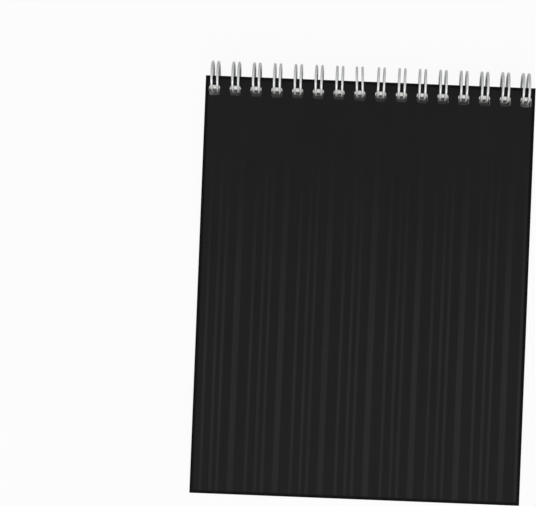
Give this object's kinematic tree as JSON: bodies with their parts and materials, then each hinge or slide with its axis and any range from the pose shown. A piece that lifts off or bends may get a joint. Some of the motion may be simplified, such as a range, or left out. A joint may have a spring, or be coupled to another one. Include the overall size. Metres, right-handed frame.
{
  "type": "reporter notebook",
  "caption": "Pocket-sized notebook bound along its top edge by a silver twin-loop wire, with a black cover, a block of leaves and a stiff back board that swing over the wire.",
  "frame": {"origin": "middle of the notebook's outline, at the height of the surface on which the loops stand", "axes": "+Z out of the front cover, +Y towards the wire-bound top edge, +X to the right of the front cover"},
  "size_m": [0.1344, 0.1766, 0.0127],
  "materials": {
    "front_cover": "satin black sheet with slightly lighter lengthwise stripes",
    "leaves": "uncoated writing paper",
    "back_cover": "matt black board",
    "wire": "bright silver-coated steel wire"
  },
  "bodies": {
    "base": {"back_cover": "back_cover", "twin_loop_wire": "wire"},
    "leaves": {"page_block": "leaves"},
    "cover": {"front_cover": "front_cover"}
  },
  "joints": [
    {"name": "leaves_turn", "type": "hinge", "parent": "base", "child": "leaves", "pos_m": [0, 0.08198, 0.00635], "axis": [-1, 0, 0], "range_deg": [0, 180]},
    {"name": "cover_opens", "type": "hinge", "parent": "leaves", "child": "cover", "pos_m": [0, 0.08198, 0.00635], "axis": [-1, 0, 0], "range_deg": [0, 180]}
  ]
}
